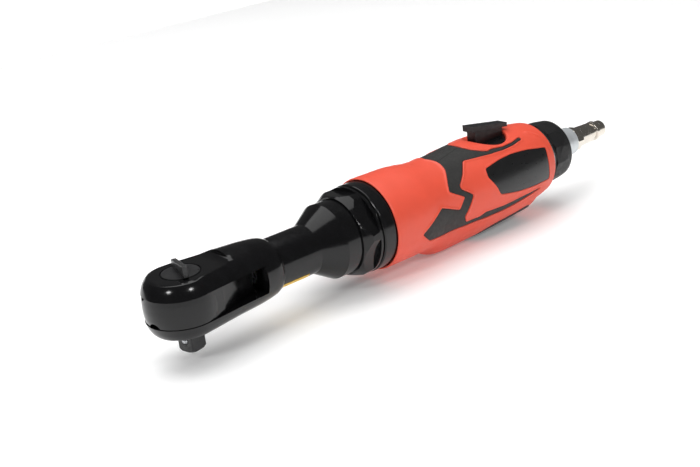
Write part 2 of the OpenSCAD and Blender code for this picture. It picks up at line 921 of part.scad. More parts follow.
module inlet_bushing() color("#9ba3ad") placed()
    difference() {
        turned([[housing_end - 9, 7.5], [housing_end + 0.1, 7.5], [housing_end + 0.2, bushing_r],
            [bushing_end - 1.2, bushing_r], [bushing_end, bushing_r - 1.2]]);
        rod(housing_end - 10, bushing_end + 1, 3.5);
        rod(bushing_end - 10, bushing_end + 1, 4.95);
        tube(housing_end - 3.2, housing_end - 1.6, 8, 6.5);
        tube(clip_x[0] - 0.05, clip_x[1] + 0.05, 9, bushing_r - 0.65);
    }

module inlet_oring() color("#222222") placed()
    translate([housing_end - 2.4, 0, 0])
        rotate([0, 90, 0])
            rotate_extrude()
                translate([7.02, 0])
                    circle(r = 0.5);

module inlet_screen() color(steel) placed()
    difference() {
        rod(bushing_end - 18, bushing_end - 17, 3.48);
        for (k = [0 : 5])
            rotate([60 * k, 0, 0])
                translate([0, 2, 0])
                    rod(bushing_end - 19, bushing_end - 16, 0.6);
        rod(bushing_end - 19, bushing_end - 16, 0.6);
    }

module air_plug() color("#d8d2c4") placed()
    difference() {
        union() {
            rod(bushing_end - 9, bushing_end + 0.5, 4.9);
            intersection() {
                across(bushing_end + 0.1, bushing_end + 6)
                    circle(r = 7.4, $fn = 6);
                turned([[bushing_end + 0.1, 6.7], [bushing_end + 0.8, 7.3], [bushing_end + 5.3, 7.3],
                    [bushing_end + 6, 6.6]]);
            }
            turned([[bushing_end + 5.9, 6.2], [plug_end - 12, 5.9], [plug_end - 11, 5], [plug_end - 9.5, 5],
                [plug_end - 9, 5.9], [plug_end - 7, 6.1], [plug_end - 6.2, 5.3], [plug_end - 5.4, plug_r],
                [plug_end - 0.7, plug_r], [plug_end, 4.5]]);
        }
        rod(bushing_end - 10, plug_end + 1, plug_bore_r);
    }

head_housing();
neck_label();
yoke();
anvil();
anvil_retaining_ring();
anvil_thrust_washer();
pawl();
pawl_pin();
reverse_knob();
pawl_plunger();
plunger_spring();
retaining_ball();
ball_spring();
crankshaft();
drive_bushing();
crank_front_bearing();
crank_rear_bearing();
planet_pins();
planet_1();
planet_2();
planet_3();
ring_gear();
gear_spacer();
clamp_nut();
motor_housing();
front_end_plate();
rotor_front_bearing();
rotor();
vane_1();
vane_2();
vane_3();
vane_4();
vane_5();
motor_cylinder();
cylinder_dowel_pin();
rear_end_plate();
rotor_rear_bearing();
trigger();
trigger_pin();
valve_guide();
valve_oring();
valve_stem();
valve_seat();
valve_spring();
valve_cap();
grip_shell();
grip_insert_left();
grip_insert_right();
nameplate_left();
nameplate_right();
belly_pad();
exhaust_silencer();
deflector_ring();
exhaust_deflector();
deflector_clip();
inlet_bushing();
inlet_oring();
inlet_screen();
air_plug();
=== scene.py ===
import json
import math

import bmesh
import bpy
import numpy as np
from mathutils import Matrix, Vector
from mathutils.geometry import delaunay_2d_cdt

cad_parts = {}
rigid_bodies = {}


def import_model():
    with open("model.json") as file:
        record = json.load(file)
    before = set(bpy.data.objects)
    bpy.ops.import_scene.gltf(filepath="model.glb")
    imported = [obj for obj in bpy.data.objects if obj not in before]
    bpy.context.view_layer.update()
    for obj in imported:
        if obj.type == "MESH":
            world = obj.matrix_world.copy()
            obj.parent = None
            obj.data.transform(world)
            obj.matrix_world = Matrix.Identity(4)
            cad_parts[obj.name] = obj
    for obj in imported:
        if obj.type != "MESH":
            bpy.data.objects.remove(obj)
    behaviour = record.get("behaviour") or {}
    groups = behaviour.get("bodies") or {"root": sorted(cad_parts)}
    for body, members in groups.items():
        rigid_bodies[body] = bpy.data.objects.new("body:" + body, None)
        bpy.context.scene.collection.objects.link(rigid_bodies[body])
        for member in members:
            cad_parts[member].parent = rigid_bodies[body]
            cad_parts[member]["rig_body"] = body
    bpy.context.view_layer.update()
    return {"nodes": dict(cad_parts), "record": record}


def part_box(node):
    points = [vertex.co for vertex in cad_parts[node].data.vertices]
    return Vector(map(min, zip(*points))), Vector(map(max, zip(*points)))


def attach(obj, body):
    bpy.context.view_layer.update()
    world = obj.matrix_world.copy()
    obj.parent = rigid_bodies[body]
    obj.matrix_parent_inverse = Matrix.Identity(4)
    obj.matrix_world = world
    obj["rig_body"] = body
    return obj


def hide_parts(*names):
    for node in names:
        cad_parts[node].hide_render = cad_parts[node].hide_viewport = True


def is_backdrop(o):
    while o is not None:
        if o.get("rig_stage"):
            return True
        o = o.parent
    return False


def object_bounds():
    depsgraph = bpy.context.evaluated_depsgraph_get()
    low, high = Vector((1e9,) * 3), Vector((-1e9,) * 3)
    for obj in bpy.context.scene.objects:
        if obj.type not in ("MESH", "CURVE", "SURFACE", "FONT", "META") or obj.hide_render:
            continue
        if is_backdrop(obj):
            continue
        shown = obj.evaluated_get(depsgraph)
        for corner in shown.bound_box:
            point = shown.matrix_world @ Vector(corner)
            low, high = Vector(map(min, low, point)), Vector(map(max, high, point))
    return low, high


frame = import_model()
NODES = frame["nodes"]

# ---------- sizes, in millimetres, about the tool's long axis ----------

MM = 0.001
low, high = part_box("inlet_bushing")
AXIS_Z = (low.z + high.z) / 2 / MM
GRIP_FRONT, GRIP_REAR = (corner.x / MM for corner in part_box("grip_shell"))
NEAR, FAR = -1, 1
QUARTER = math.pi / 2
# the skin is laid flat with x along it and this radius times the angle round it
FLAT_R = 24.0
TOP = FLAT_R * QUARTER

# radius of the grip at stations along x, at its sides and along its top
SIDE_R = [[114.4, 24.95], [115.2, 25.15], [116.4, 25.35], [120, 25.3], [128, 25.3], [138, 25.2],
          [144, 24.6], [150, 23.8], [160, 23.1], [172, 23.4], [186, 24.6], [200, 25.3], [214, 25.1],
          [226, 24.2], [236, 22.9], [242, 21.6], [246, 20.8]]
TOP_R = [[114.4, 24.95], [115.2, 25.05], [116.4, 25.1], [126, 24.9], [138, 24.6], [144, 23.9],
         [150, 22.9], [158, 22.4], [166, 22.3], [174, 22.8], [186, 23.5], [200, 23.9], [214, 23.7],
         [226, 23], [236, 22.2], [242, 21.2], [246, 20.6]]
# depth of the belly under the axis, and the angle at which it leaves the round grip
BELLY_DEPTH = [[140, 25], [143, 25.5], [146, 26.8], [149, 28.5], [153, 30.2], [158, 30.9], [166, 31],
               [176, 30.5], [192, 29.4], [209, 28.1], [218, 27.4], [224, 27], [226.6, 26.6], [228, 25.4],
               [229.4, 23.9], [233, 23.2], [242, 21.6]]
BELLY_EDGE = [[140, -40], [150, -42], [168, -45], [183, -41], [193, -39], [212, -33.5], [228, -29.5],
              [242, -26]]
LIP_R = 0.5
LIP_X = GRIP_FRONT + LIP_R
HEEL_R = 1.6
HEEL_X = GRIP_REAR - HEEL_R
SKIN_START = LIP_X - math.pi * LIP_R - 2.7
SKIN_END = HEEL_X + QUARTER * HEEL_R + 4.6
HOUSING_R = 21.56
COLLAR_R = 24.15
HEEL_BORE_R = 19.3

# outlines on one side of the skin: x, and degrees from the side (0) up to the top (90)
INSERT = [(160, 96), (161.5, 84), (162.8, 74), (162.9, 65), (162, 54), (159.6, 43.9), (157.4, 34.6),
          (155.9, 23.6), (165.8, 9.4), (161, -5.2), (147.2, 8.3), (131.6, -14.3), (138.2, -29.3),
          (150.5, -36.8), (168.4, -40.3), (182.8, -37), (196, -33.9), (212.4, -28.8), (227, -24.4),
          (225.5, -22.9), (209, -22), (195.4, -24.2), (181.5, -24.3), (177.4, -29.4), (167.9, -30.5),
          (165.9, -19.3), (172.2, 7.5), (164.9, 20.6), (164.7, 25.9), (169.6, 37.4), (175.8, 56),
          (184.1, 52.4), (193.5, 48.9), (204.2, 47.3), (212.5, 48.3), (222, 52.6), (221.2, 57.6),
          (213.6, 53.2), (205.4, 52.2), (197, 55.6), (194.3, 54.2), (190.2, 60), (186.6, 67.5),
          (184.4, 78.6), (184.1, 96)]
PLATE = [(185.2, 33.3), (196, 37.2), (207, 38.6), (219.2, 36.4), (235.4, 30.1), (234.4, 14.3),
         (234.4, -0.2), (235, -17.1), (220.5, -15), (206.5, -11.8), (191.7, -5.9), (189, 6.9), (184.6, 22.4)]
PAD = [(182, -110), (182.5, -76), (187, -66), (196, -57), (212, -53), (221, -51), (225.4, -54), (226.6, -64),
       (226.8, -110)]
STRIP_EDGE = [(150, 66), (163, 73.6), (170, 77.4), (183, 83.2), (187, 84.6)]
MARK = [(230, 62), (235.4, 50.5)]
RIB_PITCH = 1.3
RIB_DEPTH = 0.16
STRIP_GROOVE_DEPTH = 0.25
MARK_HEIGHT = 0.5
MARK_HALF_WIDTH = 1.7
LIP_GROOVE_OFFSET = 2.6
LIP_GROOVE_HALF = 1.3
LIP_GROOVE_DEPTH = 0.22

INSERT_DEPTH = 1.1
PLATE_DEPTH = 0.5
PAD_DEPTH = 0.8
WELL_X = 206.8
WELL_R = 12.7
BORE_END = 240.2
# a mesh spacing along the skin, and round it
SKIN_STEP = (1.7, 1.5)


def smooth_through(stations, x):
    """Value at x of a smooth curve through [x, value] stations."""
    xs, ys = np.array(stations, float).T
    x = np.clip(x, xs[0], xs[-1])
    slope = np.gradient(ys, xs)
    i = np.clip(np.searchsorted(xs, x) - 1, 0, len(xs) - 2)
    h = xs[i + 1] - xs[i]
    t = (x - xs[i]) / h
    rise = 3 * t**2 - 2 * t**3
    return ((1 - rise) * ys[i] + rise * ys[i + 1]
            + (t**3 - 2 * t**2 + t) * h * slope[i] + (t**3 - t**2) * h * slope[i + 1])


def ease(t):
    """Smooth step from 0 to 1."""
    t = np.clip(t, 0, 1)
    return t * t * (3 - 2 * t)


# ---------- the grip's skin ----------

def skin_radius(x, angle):
    """Radius of the outer skin, the belly included, at x and an angle in radians up from the side."""
    side = smooth_through(SIDE_R, x)
    top = smooth_through(TOP_R, x)
    radius = side + (top - side) * ease((angle - 0.5) / 1.0)
    edge = np.radians(smooth_through(BELLY_EDGE, x))
    share = np.clip((edge - angle) / (edge + QUARTER), 0, 1)
    bulge = np.maximum(smooth_through(BELLY_DEPTH, x) - side, 0) * np.sin(share * QUARTER)
    return radius + np.where(x > BELLY_DEPTH[0][0], bulge, 0)


def rolled(u):
    """Turns the skin's length u into x and a drop below the skin, round the front lip and the heel."""
    lip = np.clip((LIP_X - u) / LIP_R, 0, math.pi)
    lip_wall = np.maximum(LIP_X - math.pi * LIP_R - u, 0)
    heel = np.clip((u - HEEL_X) / HEEL_R, 0, QUARTER)
    heel_wall = np.maximum(u - HEEL_X - QUARTER * HEEL_R, 0)
    x = np.clip(u, LIP_X, HEEL_X) - LIP_R * np.sin(lip) + lip_wall + HEEL_R * np.sin(heel) - heel_wall
    drop = LIP_R * (1 - np.cos(lip)) + HEEL_R * (1 - np.cos(heel)) + np.minimum(heel_wall, 0.3)
    return x, drop


def outer_points(uv, lift, side):
    """Row-frame points, in metres, of skin points raised by lift."""
    u, angle = uv[:, 0], uv[:, 1] / FLAT_R
    x, drop = rolled(u)
    radius = skin_radius(np.clip(u, LIP_X, HEEL_X), angle) - drop + lift
    return placed(x, radius, angle, side)


def inner_points(uv, side):
    """Row-frame points of the shell's inner wall under the same skin points."""
    u, angle = uv[:, 0], uv[:, 1] / FLAT_R
    bore_start = LIP_X + 2.4
    x = np.interp(u, [SKIN_START, bore_start, BORE_END, SKIN_END],
                  [bore_start - 0.2, bore_start, BORE_END, BORE_END + 0.05])
    radius = np.interp(u, [SKIN_START, bore_start, BORE_END, BORE_END + 0.1, SKIN_END],
                       [COLLAR_R, HOUSING_R, HOUSING_R, HOUSING_R - 0.1, HEEL_BORE_R])
    return placed(x, radius, angle, side)


def placed(x, radius, angle, side):
    return np.column_stack([x, side * radius * np.cos(angle), radius * np.sin(angle) + AXIS_Z]) * MM


# ---------- outlines on the skin ----------

def flat(points):
    """Outline points as x and length round the skin."""
    return np.array([(x, math.radians(angle) * FLAT_R) for x, angle in points], float)


def rounded(points, radius, step=0.6, closed=True):
    """The outline through points, its corners rounded, as points about step apart."""
    count = len(points)
    out = []
    for i in range(count):
        here = points[i]
        if not closed and i in (0, count - 1):
            out.append(here)
            continue
        before, after = points[i - 1] - here, points[(i + 1) % count] - here
        cut = min(radius, 0.45 * np.linalg.norm(before), 0.45 * np.linalg.norm(after))
        start = here + before / np.linalg.norm(before) * cut
        end = here + after / np.linalg.norm(after) * cut
        for t in np.linspace(0, 1, 5):
            out.append((1 - t)**2 * start + 2 * t * (1 - t) * here + t**2 * end)
    if closed:
        out.append(out[0])
    dense = [out[0]]
    for a, b in zip(out, out[1:]):
        pieces = max(1, math.ceil(np.linalg.norm(b - a) / step))
        dense.extend(a + (b - a) * k / pieces for k in range(1, pieces + 1))
    return np.array(dense[:-1] if closed else dense)


class Region:
    """A closed outline on the flat skin, whose distances are negative inside it."""

    def __init__(self, outline):
        self.outline = outline
        after = np.roll(outline, -1, axis=0)
        area = np.sum(outline[:, 0] * after[:, 1] - after[:, 0] * outline[:, 1])
        if area < 0:
            self.outline = outline[::-1].copy()

    def distance(self, points):
        a = self.outline
        b = np.roll(a, -1, axis=0)
        ab = b - a
        length = np.maximum((ab**2).sum(1), 1e-12)
        out = np.empty(len(points))
        for start in range(0, len(points), 2000):
            p = points[start:start + 2000, None, :]
            t = np.clip(((p - a) * ab).sum(2) / length, 0, 1)
            gap = np.sqrt((((a + t[..., None] * ab) - p)**2).sum(2)).min(1)
            above = (a[:, 1] > p[..., 1]) != (b[:, 1] > p[..., 1])
            rise = np.where(b[:, 1] == a[:, 1], 1e-12, b[:, 1] - a[:, 1])
            cross = p[..., 0] < (b[:, 0] - a[:, 0]) * (p[..., 1] - a[:, 1]) / rise + a[:, 0]
            inside = (above & cross).sum(1) % 2 == 1
            out[start:start + 2000] = np.where(inside, -gap, gap)
        return out

    def ring(self, offset):
        """The outline moved outward by offset, without the parts that fold over themselves."""
        a = self.outline
        along = np.roll(a, -1, axis=0) - np.roll(a, 1, axis=0)
        along /= np.maximum(np.linalg.norm(along, axis=1), 1e-9)[:, None]
        moved = a + offset * np.column_stack([along[:, 1], -along[:, 0]])
        return moved[self.distance(moved) * np.sign(offset or 1) >= abs(offset) - 0.02]


def well_outline():
    """The trigger's well: half of an upright round hole, as it cuts the skin."""
    turn = np.linspace(math.pi, 0, 41)
    x = WELL_X + WELL_R * np.cos(turn)
    angle = np.arccos(WELL_R * np.sin(turn) / smooth_through(TOP_R, x))
    half = [(WELL_X - WELL_R, TOP + 3), *zip(x, FLAT_R * angle), (WELL_X + WELL_R, TOP + 3)]
    return rounded(np.array(half), 0.3)


insert_region = Region(rounded(flat(INSERT), 1.0))
plate_region = Region(rounded(flat(PLATE), 1.4))
pad_region = Region(rounded(flat(PAD), 2.5))
well_region = Region(well_outline())
strip_line = rounded(flat(STRIP_EDGE), 3.0, closed=False)


def from_profile(distance, profile):
    """Height at a distance from an outline, from a profile of (distance, height) pairs."""
    d, h = np.array(profile).T
    return np.interp(distance, d, h)


INSERT_BEAD = [(0, -INSERT_DEPTH), (0.1, 0.16), (0.35, 0.38), (0.7, 0.4), (1.05, 0.2), (1.5, 0)]
PLATE_BEAD = [(0, -PLATE_DEPTH), (0.1, 0.08), (0.35, 0.18), (0.7, 0.16), (1.1, 0)]
WELL_EDGE = [(0, -0.5), (0.25, -0.2), (0.6, -0.05), (1.0, 0)]
PAD_SEAT = [(0, -PAD_DEPTH), (0.1, -0.1), (0.5, 0)]
INSERT_TOP = [(-0.9, 0.02), (-0.4, 0), (-0.14, -0.14), (-0.03, -0.5)]
PLATE_TOP = [(-0.3, -0.1), (-0.12, -0.14), (-0.03, -0.35)]
PAD_TOP = [(-1.6, 0.35), (-0.8, 0.28), (-0.3, 0.08), (-0.04, -0.4)]


def segment_distance(points, start, end):
    along = end - start
    t = np.clip(((points - start) @ along) / (along @ along), 0, 1)
    return np.linalg.norm(points - (start + t[:, None] * along), axis=1)


def shell_lift(uv):
    lift = from_profile(insert_region.distance(uv), INSERT_BEAD)
    lift += from_profile(plate_region.distance(uv), PLATE_BEAD)
    lift += from_profile(well_region.distance(uv), WELL_EDGE)
    lift += from_profile(pad_region.distance(uv), PAD_SEAT)
    mark = segment_distance(uv, *flat(MARK))
    lip_groove = ease(1 - np.abs(uv[:, 0] - LIP_X - LIP_GROOVE_OFFSET) / LIP_GROOVE_HALF)
    return lift + MARK_HEIGHT * ease(1 - mark / MARK_HALF_WIDTH) - LIP_GROOVE_DEPTH * lip_groove


def insert_lift(uv):
    """The rubber insert: flush, with fine ribs on the strip along the top and a groove beside it."""
    lift = from_profile(insert_region.distance(uv), INSERT_TOP)
    edge = np.interp(uv[:, 0], strip_line[:, 0], strip_line[:, 1])
    inside = ease((uv[:, 1] - edge) / 0.4)
    ribs = 0.5 - 0.5 * np.cos(2 * math.pi * uv[:, 0] / RIB_PITCH)
    groove = ease(1 - np.abs(uv[:, 1] - edge) / 0.25)
    return lift - RIB_DEPTH * inside * ribs - STRIP_GROOVE_DEPTH * groove


# ---------- meshes ----------

def triangulated(rings, lines, points):
    """Triangles over the flat skin that keep every ring and line as edges."""
    verts, edges = [], []
    for ring in rings:
        first = len(verts)
        verts.extend(ring)
        edges.extend((first + k, first + (k + 1) % len(ring)) for k in range(len(ring)))
    for line in lines:
        first = len(verts)
        verts.extend(line)
        edges.extend((first + k, first + k + 1) for k in range(len(line) - 1))
    verts.extend(points)
    coords = [Vector((float(p[0]), float(p[1]))) for p in verts]
    out, _, faces, *_ = delaunay_2d_cdt(coords, edges, [], 0, 1e-5)
    return np.array([(v.x, v.y) for v in out]), np.array([list(f) for f in faces if len(f) == 3])


def lattice(u0, u1, v0, v1, du, dv):
    us = np.linspace(u0, u1, max(2, round((u1 - u0) / du) + 1))
    vs = np.linspace(v0, v1, max(2, round((v1 - v0) / dv) + 1))
    return np.array([(u, v) for u in us for v in vs])


def border(u0, u1, v0, v1, step):
    """The sides of a rectangle on the flat skin, as four lines."""
    us = np.linspace(u0, u1, round((u1 - u0) / step) + 1)
    vs = np.linspace(v0, v1, round((v1 - v0) / step) + 1)
    return [[(u, v0) for u in us], [(u, v1) for u in us], [(u0, v) for v in vs], [(u1, v) for v in vs]]


def closed_skin(uv, faces, top, bottom, joined=()):
    """Vertices and faces of a closed piece between two maps of the same triangles.
    Edges on a line of joined stay open there, so that the piece's mirror image can meet them."""
    used, faces = np.unique(faces, return_inverse=True)
    faces = faces.reshape(-1, 3)
    count = len(used)
    seen = {}
    for tri in faces:
        seen.update(dict.fromkeys(zip(tri, np.roll(tri, -1))))
    walls = [(a, b) for a, b in seen if (b, a) not in seen]
    v = uv[used][:, 1]
    kept = [(a, b) for a, b in walls
            if not any(abs(v[a] - line) < 1e-3 and abs(v[b] - line) < 1e-3 for line in joined)]
    solid = [list(t) for t in faces] + [[t[2] + count, t[1] + count, t[0] + count] for t in faces]
    solid += [[b, a, a + count, b + count] for a, b in kept]
    return np.vstack([top[used], bottom[used]]), solid


def new_piece(name, parts, finish, replaced, weld=False):
    """A piece of the root body made of (vertices, faces) parts, which stands for CAD parts."""
    bm = bmesh.new()
    for verts, faces in parts:
        made = [bm.verts.new(v) for v in verts]
        for f in faces:
            bm.faces.new([made[k] for k in f])
    if weld:
        bmesh.ops.remove_doubles(bm, verts=bm.verts, dist=2e-6)
    bmesh.ops.recalc_face_normals(bm, faces=bm.faces)
    mesh = bpy.data.meshes.new(name)
    bm.to_mesh(mesh)
    bm.free()
    mesh.shade_smooth()
    mesh.set_sharp_from_angle(angle=math.radians(40))
    mesh.materials.append(finish)
    piece = bpy.data.objects.new(name, mesh)
    bpy.context.scene.collection.objects.link(piece)
    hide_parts(*replaced)
    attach(piece, "root")


def grip_shell(finish):
    """The red moulded shell: one half is laid out flat, closed inside, and mirrored."""
    rings = [region.ring(d) for region, profile in ((insert_region, INSERT_BEAD), (plate_region, PLATE_BEAD),
                                                    (well_region, WELL_EDGE), (pad_region, PAD_SEAT))
             for d, _ in profile]
    crease = [(x, math.radians(smooth_through(BELLY_EDGE, x)) * FLAT_R) for x in np.arange(140.0, 232, 1.0)]
    points = lattice(LIP_X + 1, HEEL_X - 1, -TOP, TOP, *SKIN_STEP)
    near = np.min([np.abs(r.distance(points)) for r in (insert_region, plate_region, well_region)], axis=0)
    points = points[near > 0.8]
    lip = lattice(SKIN_START, LIP_X, -TOP, TOP, 0.33, 1.6)
    heel = lattice(HEEL_X, SKIN_END, -TOP, TOP, 0.4, 1.6)
    mark = lattice(227.5, 238, *sorted(flat(MARK)[:, 1] + (3, -3)), 0.5, 0.5)
    uv, faces = triangulated(rings, border(SKIN_START, SKIN_END, -TOP, TOP, 1.5) + [crease],
                             np.vstack([points, lip, heel, mark]))
    centre = uv[faces].mean(1)
    inside = (np.abs(centre[:, 1]) < TOP) & (well_region.distance(centre) > 0)
    inside &= (centre[:, 0] > SKIN_START) & (centre[:, 0] < SKIN_END)
    lift = shell_lift(uv)
    parts = [closed_skin(uv, faces[inside], outer_points(uv, lift, side), inner_points(uv, side), (-TOP, TOP))
             for side in (NEAR, FAR)]
    new_piece("grip_shell_moulding", parts, finish, ["grip_shell"], weld=True)


def inlaid(name, region, profile, lift, depth, side, finish, replaced, lines=(), more=()):
    """One piece set into the skin inside a region, on one side of the tool.
    Its mesh keeps the lines as edges and holds more points."""
    margin = 0.03
    top_line = [[(x, TOP - margin) for x in np.arange(130.0, 245, 0.65)]]
    rings = [region.ring(d) for d, _ in profile]
    low_corner, high_corner = region.outline.min(0), region.outline.max(0)
    points = lattice(low_corner[0], high_corner[0], low_corner[1], min(high_corner[1], TOP - 1),
                     *SKIN_STEP)
    points = points[region.distance(points) < -1.2]
    uv, faces = triangulated(rings, top_line + list(lines), np.vstack([points, *more]))
    centre = uv[faces].mean(1)
    inside = (region.distance(centre) < profile[-1][0]) & (centre[:, 1] < TOP - margin)
    top = outer_points(uv, lift(uv), side)
    bottom = outer_points(uv, np.full(len(uv), -depth), side)
    return new_piece(name, [closed_skin(uv, faces[inside], top, bottom)], finish, [replaced])


def inserts(finish):
    strip = (156, 186, TOP - 10, TOP - 0.1)
    ribs = lattice(*strip, RIB_PITCH / 4, 1.1)
    edge = np.interp(ribs[:, 0], strip_line[:, 0], strip_line[:, 1])
    ribs = ribs[(ribs[:, 1] > edge + 0.4) & (insert_region.distance(ribs) < -0.6)]
    grooves = [strip_line + (0, shift) for shift in (-0.25, 0, 0.25)]
    for side, name in ((NEAR, "right"), (FAR, "left")):
        inlaid(f"grip_insert_{name}_rubber", insert_region, INSERT_TOP, insert_lift, INSERT_DEPTH - 0.05,
               side, finish, f"grip_insert_{name}", grooves, [ribs])


def plate_lift(uv):
    return from_profile(plate_region.distance(uv), PLATE_TOP)


def nameplates(finish):
    for side, name in ((NEAR, "right"), (FAR, "left")):
        inlaid(f"nameplate_{name}_film", plate_region, PLATE_TOP, plate_lift, PLATE_DEPTH - 0.02,
               side, finish, f"nameplate_{name}")


def belly_pad(finish):
    """The rubber pad under the belly, in one piece across the bottom."""
    rings = [pad_region.ring(d) for d, _ in PAD_TOP]
    points = lattice(181, 228, -TOP, -10, *SKIN_STEP)
    points = points[pad_region.distance(points) < -1.9]
    bottom_line = [[(x, -TOP) for x in np.arange(170.0, 245, 1.0)]]
    uv, faces = triangulated(rings, bottom_line, points)
    centre = uv[faces].mean(1)
    inside = (pad_region.distance(centre) < PAD_TOP[-1][0]) & (centre[:, 1] > -TOP)
    lift = from_profile(pad_region.distance(uv), PAD_TOP)
    parts = [closed_skin(uv, faces[inside], outer_points(uv, lift, side),
                         outer_points(uv, np.full(len(uv), 0.05 - PAD_DEPTH), side), (-TOP,))
             for side in (NEAR, FAR)]
    new_piece("belly_pad_rubber", parts, finish, ["belly_pad"], weld=True)


def crisp(node, finish, width):
    """A copy of a CAD part with its sharp edges rounded, which stands for the part.
    Edges beside a feature too small for the rounding stay sharp."""
    bm = bmesh.new()
    bm.from_mesh(NODES[node].data)
    bmesh.ops.remove_doubles(bm, verts=bm.verts, dist=2e-6)
    bmesh.ops.dissolve_limit(bm, angle_limit=math.radians(0.4), verts=bm.verts, edges=bm.edges)
    room = 2.4 * width * MM
    sharp = [e for e in bm.edges if e.calc_face_angle(0) > math.radians(28)
             and min(n.calc_length() for v in e.verts for n in v.link_edges) > room]
    bmesh.ops.bevel(bm, geom=sharp, offset=width * MM, offset_type="OFFSET", segments=5, profile=0.5,
                    affect="EDGES", clamp_overlap=True, miter_outer="ARC")
    mesh = bpy.data.meshes.new(node + "_finished")
    bm.to_mesh(mesh)
    bm.free()
    mesh.shade_smooth()
    mesh.set_sharp_from_angle(angle=math.radians(20))
    piece = bpy.data.objects.new(node + "_finished", mesh)
    bpy.context.scene.collection.objects.link(piece)
    even = piece.modifiers.new("even shading", "WEIGHTED_NORMAL")
    even.keep_sharp = True
    bpy.context.view_layer.update()
    shaped = bpy.data.meshes.new_from_object(piece.evaluated_get(bpy.context.evaluated_depsgraph_get()))
    piece.modifiers.clear()
    piece.data = shaped
    shaped.materials.clear()
    shaped.materials.append(finish)
    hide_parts(node)
    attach(piece, NODES[node]["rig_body"])


# ---------- materials ----------

def finish_of(name, color, roughness, metallic=0.0, mottle=0.12, mottle_size=6.0, grain=0.0, grain_size=0.4,
              rough_spread=0.08, ior=1.5, stretch=(1, 1, 1)):
    """A procedural finish: colour and roughness drift slowly, and a fine grain lifts the surface.
    Sizes are in millimetres, and grain is the height of the relief."""
    material = bpy.data.materials.new(name)
    material.use_nodes = True
    nodes, links = material.node_tree.nodes, material.node_tree.links
    shader = nodes["Principled BSDF"]
    shader.inputs["Metallic"].default_value = metallic
    shader.inputs["IOR"].default_value = ior
    place = nodes.new("ShaderNodeTexCoord")
    scale = nodes.new("ShaderNodeMapping")
    scale.inputs["Scale"].default_value = [s / MM for s in stretch]
    links.new(place.outputs["Object"], scale.inputs["Vector"])

    def noise(size, detail):
        node = nodes.new("ShaderNodeTexNoise")
        node.inputs["Scale"].default_value = 1 / size
        node.inputs["Detail"].default_value = detail
        links.new(scale.outputs["Vector"], node.inputs["Vector"])
        return node.outputs["Fac"]

    drift = noise(mottle_size, 4.0)
    ramp = nodes.new("ShaderNodeValToRGB")
    ramp.color_ramp.elements[0].position = 0.3
    ramp.color_ramp.elements[1].position = 0.7
    ramp.color_ramp.elements[0].color = [c * (1 - mottle) for c in color] + [1]
    ramp.color_ramp.elements[1].color = [min(1, c * (1 + mottle)) for c in color] + [1]
    links.new(drift, ramp.inputs["Fac"])
    links.new(ramp.outputs["Color"], shader.inputs["Base Color"])
    spread = nodes.new("ShaderNodeMapRange")
    spread.inputs["From Min"].default_value = 0.3
    spread.inputs["From Max"].default_value = 0.7
    spread.inputs["To Min"].default_value = max(0.02, roughness - rough_spread)
    spread.inputs["To Max"].default_value = min(1, roughness + rough_spread)
    links.new(noise(mottle_size / 3, 5.0), spread.inputs["Value"])
    links.new(spread.outputs["Result"], shader.inputs["Roughness"])
    if grain:
        bump = nodes.new("ShaderNodeBump")
        bump.inputs["Distance"].default_value = grain * MM
        bump.inputs["Strength"].default_value = 1.0
        links.new(noise(grain_size, 3.0), bump.inputs["Height"])
        links.new(bump.outputs["Normal"], shader.inputs["Normal"])
    return material


FINISHES = {
    "black_steel": finish_of("black_gloss_steel", (0.004, 0.004, 0.0045), 0.15, mottle=0.2, grain=0.003,
                             grain_size=2.5, rough_spread=0.03, ior=1.42),
    "dark_steel": finish_of("dark_phosphated_steel", (0.022, 0.022, 0.023), 0.34, metallic=0.2, mottle=0.2,
                            grain=0.01, grain_size=0.5),
    "label": finish_of("label_film", (0.80, 0.50, 0.06), 0.45, mottle=0.04),
    "black_collar": finish_of("black_anodised_alloy", (0.005, 0.005, 0.0055), 0.18, mottle=0.15, grain=0.003,
                              grain_size=1.2, ior=1.42),
    "red_plastic": finish_of("red_moulded_nylon", (0.76, 0.085, 0.045), 0.44, mottle=0.035, mottle_size=14,
                             grain=0.012, grain_size=0.35, rough_spread=0.05, ior=1.48),
    "grip_rubber": finish_of("grip_rubber", (0.026, 0.0255, 0.0245), 0.66, mottle=0.12, grain=0.02,
                             grain_size=0.3, ior=1.45),
    "nameplate": finish_of("nameplate_film", (0.009, 0.009, 0.0095), 0.3, mottle=0.1, grain=0.002,
                           grain_size=3, rough_spread=0.03),
    "black_plastic": finish_of("black_moulded_plastic", (0.006, 0.006, 0.0065), 0.5, mottle=0.12, grain=0.01,
                               grain_size=0.35),
    "bushing_metal": finish_of("turned_alloy", (0.66, 0.69, 0.71), 0.42, metallic=0.6, mottle=0.06,
                               grain=0.01, grain_size=0.5, stretch=(3, 0.3, 0.3)),
    "plug_nickel": finish_of("nickel_plate", (0.74, 0.69, 0.62), 0.2, metallic=1.0, mottle=0.06, grain=0.004,
                             grain_size=0.5, stretch=(3, 0.3, 0.3)),
    "bronze": finish_of("sintered_bronze", (0.45, 0.29, 0.12), 0.5, metallic=0.9, mottle=0.2, grain=0.03,
                        grain_size=0.25),
    "seal_rubber": finish_of("seal_rubber", (0.012, 0.012, 0.012), 0.55, grain=0.01),
    "alloy": finish_of("machined_alloy", (0.56, 0.57, 0.59), 0.34, metallic=1.0, mottle=0.06, grain=0.008,
                       grain_size=0.4, stretch=(4, 0.4, 0.4)),
    "vane_resin": finish_of("vane_resin", (0.30, 0.18, 0.08), 0.6, mottle=0.2, grain=0.02, grain_size=0.3,
                            stretch=(0.2, 2, 2)),
    "tool_steel": finish_of("ground_steel", (0.46, 0.47, 0.49), 0.3, metallic=1.0, mottle=0.08, grain=0.006,
                            grain_size=0.4),
}
